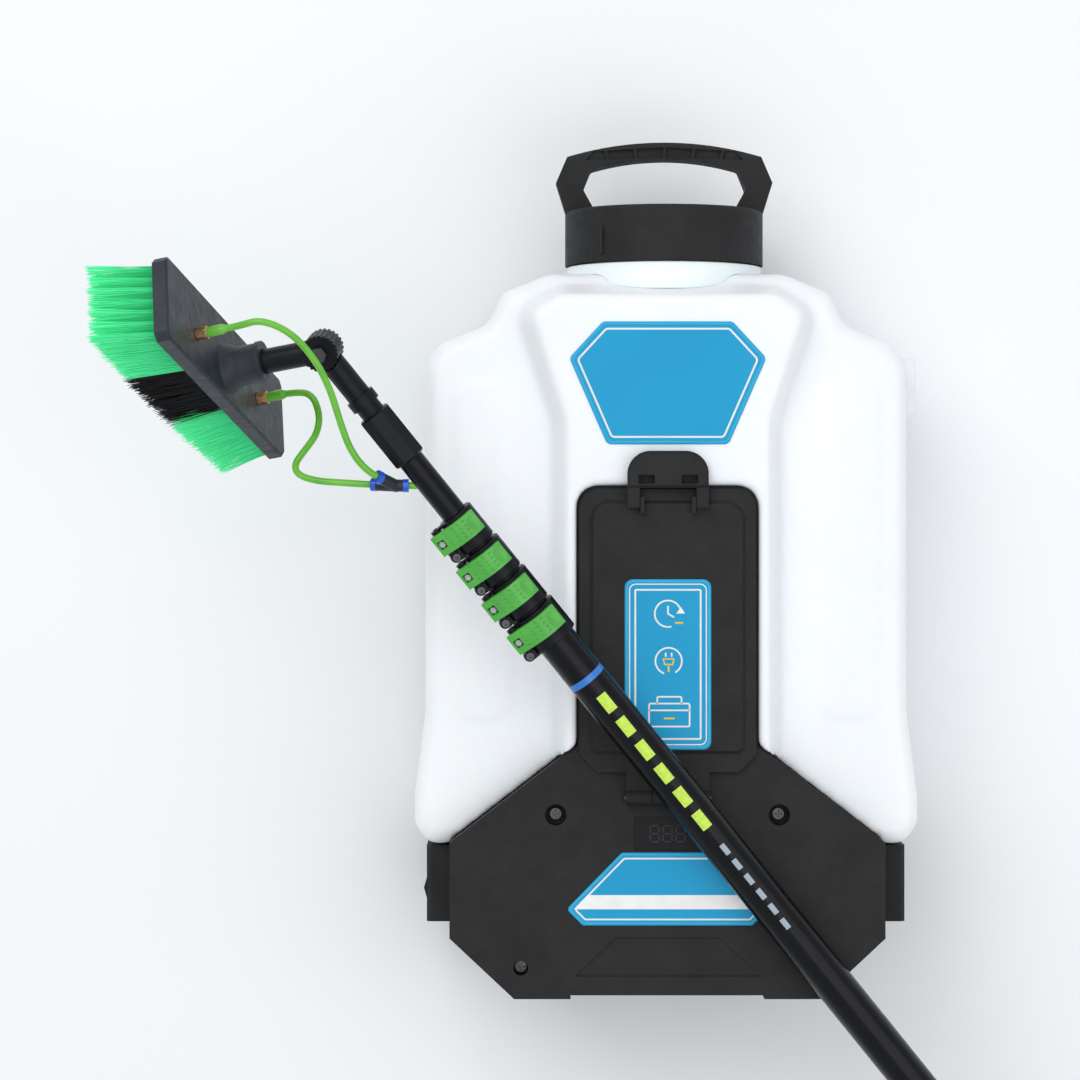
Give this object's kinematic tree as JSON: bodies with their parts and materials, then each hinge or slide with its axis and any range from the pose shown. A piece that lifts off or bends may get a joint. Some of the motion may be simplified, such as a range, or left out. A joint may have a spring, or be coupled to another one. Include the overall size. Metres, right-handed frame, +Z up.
{
  "type": "window cleaning pole system",
  "caption": "Backpack water tank with battery pump base, and a telescopic water-fed pole with lever clamps and a bristle brush on an angle joint.",
  "frame": {"origin": "middle of the harness frame's flat back, on the floor", "axes": "+X the tank's right seen from its front, +Y from its feet to its filler cap, +Z up off the floor, out of the tank's front"},
  "size_m": [1.2789, 1.5478, 0.3944],
  "materials": {
    "tank_white": "white moulded plastic",
    "base_black": "fine textured black plastic",
    "gloss_black": "smooth black plastic",
    "label_blue": "printed film, cyan blue",
    "rubber": "moulded rubber",
    "steel": "zinc plated",
    "tube_black": "black anodised",
    "lever_green": "green moulded plastic",
    "hose_green": "light green tubing",
    "bristle_green": "green filaments",
    "bristle_black": "black filaments",
    "strap": "padded webbing",
    "battery": "battery casing",
    "pump": "pump casting",
    "motor": "plated can",
    "display": "dark display window",
    "fitting": "dark grey plastic",
    "strainer": "dark plastic basket",
    "brass": "turned brass",
    "collet_blue": "blue plastic"
  },
  "bodies": {
    "tank": {"tank_shell": "tank_white", "filler_neck": "tank_white", "neck_strainer": "strainer", "outlet_cup": "base_black", "base_housing": "base_black", "base_back_cover": "base_black", "cover_screws": "steel", "door_hinge_pin": "steel", "battery_dock": "base_black", "pump_head": "pump", "pump_motor": "motor", "suction_hose": "rubber", "outlet_fitting": "fitting", "harness_frame": "base_black", "shoulder_straps": "strap", "display_window": "display", "front_labels": "label_blue"},
    "cap_seal": {"cap_gasket": "rubber"},
    "cap": {"filler_cap": "base_black"},
    "door": {"battery_door": "base_black", "door_label": "label_blue"},
    "latch": {"door_latch": "base_black"},
    "battery": {"battery_pack": "battery"},
    "rocker": {"power_rocker": "gloss_black"},
    "pole_base": {"pole_tube_1": "tube_black", "clamp_body_1": "gloss_black", "clamp_hardware_1": "steel", "pole_foot": "rubber"},
    "section_2": {"pole_tube_2": "tube_black", "clamp_body_2": "gloss_black", "clamp_hardware_2": "steel"},
    "section_3": {"pole_tube_3": "tube_black", "clamp_body_3": "gloss_black", "clamp_hardware_3": "steel"},
    "section_4": {"pole_tube_4": "tube_black", "clamp_body_4": "gloss_black", "clamp_hardware_4": "steel"},
    "section_5": {"pole_tube_5": "tube_black", "angle_joint_lower": "gloss_black", "angle_joint_bolt": "steel", "inner_hose": "hose_green", "y_connector": "fitting", "y_collets": "collet_blue", "hose_upper": "hose_green", "hose_lower": "hose_green"},
    "lever_1": {"clamp_lever_1": "lever_green", "lever_bolt_1": "steel"},
    "lever_2": {"clamp_lever_2": "lever_green", "lever_bolt_2": "steel"},
    "lever_3": {"clamp_lever_3": "lever_green", "lever_bolt_3": "steel"},
    "lever_4": {"clamp_lever_4": "lever_green", "lever_bolt_4": "steel"},
    "arm": {"angle_joint_arm": "gloss_black", "brush_block": "fitting", "spray_jets": "brass", "green_bristles": "bristle_green", "black_bristles": "bristle_black"}
  },
  "joints": [
    {"name": "cap_lift", "type": "slide", "parent": "tank", "child": "cap_seal", "axis": [0, 1, 0], "range_m": [0, 0.09]},
    {"name": "cap_turn", "type": "hinge", "parent": "cap_seal", "child": "cap", "pos_m": [0, 0.285, 0.105], "axis": [0, 1, 0], "continuous": true},
    {"name": "door_hinge", "type": "hinge", "parent": "tank", "child": "door", "pos_m": [0, -0.15, 0.1954], "axis": [1, 0, 0], "range_deg": [0, 22]},
    {"name": "latch_hinge", "type": "hinge", "parent": "door", "child": "latch", "pos_m": [0, 0.067, 0.2014], "axis": [1, 0, 0], "range_deg": [0, 20], "stiffness_Nm_per_rad": 0.4},
    {"name": "battery_slide", "type": "slide", "parent": "tank", "child": "battery", "axis": [0, 1, 0], "range_m": [0, 0.045]},
    {"name": "rocker_tilt", "type": "hinge", "parent": "tank", "child": "rocker", "pos_m": [-0.1745, -0.225, 0.095], "axis": [0, 0, 1], "range_deg": [-7, 7]},
    {"name": "pole_lift", "type": "slide", "parent": "tank", "child": "pole_base", "axis": [0, 0, 1], "range_m": [0, 0.45]},
    {"name": "slide_2", "type": "slide", "parent": "pole_base", "child": "section_2", "axis": [-0.6185, 0.7693, 0.1603], "range_m": [0, 1.375]},
    {"name": "slide_3", "type": "slide", "parent": "section_2", "child": "section_3", "axis": [-0.6185, 0.7693, 0.1603], "range_m": [0, 1.375]},
    {"name": "slide_4", "type": "slide", "parent": "section_3", "child": "section_4", "axis": [-0.6185, 0.7693, 0.1603], "range_m": [0, 1.375]},
    {"name": "slide_5", "type": "slide", "parent": "section_4", "child": "section_5", "axis": [-0.6185, 0.7693, 0.1603], "range_m": [0, 1.375]},
    {"name": "lever_1_hinge", "type": "hinge", "parent": "pole_base", "child": "lever_1", "pos_m": [-0.10875, -0.03085, 0.26822], "axis": [0.6185, -0.7693, -0.1603], "range_deg": [0, 105]},
    {"name": "lever_2_hinge", "type": "hinge", "parent": "section_2", "child": "lever_2", "pos_m": [-0.12693, -0.00724, 0.27196], "axis": [0.6185, -0.7693, -0.1603], "range_deg": [0, 105]},
    {"name": "lever_3_hinge", "type": "hinge", "parent": "section_3", "child": "lever_3", "pos_m": [-0.1451, 0.01636, 0.2757], "axis": [0.6185, -0.7693, -0.1603], "range_deg": [0, 105]},
    {"name": "lever_4_hinge", "type": "hinge", "parent": "section_4", "child": "lever_4", "pos_m": [-0.16328, 0.03996, 0.27944], "axis": [0.6185, -0.7693, -0.1603], "range_deg": [0, 105]},
    {"name": "arm_hinge", "type": "hinge", "parent": "section_5", "child": "arm", "pos_m": [-0.24971, 0.17634, 0.30211], "axis": [-0.176, -0.3345, 0.9258], "range_deg": [-150, 30], "deforming": ["hose_upper", "hose_lower"]}
  ]
}
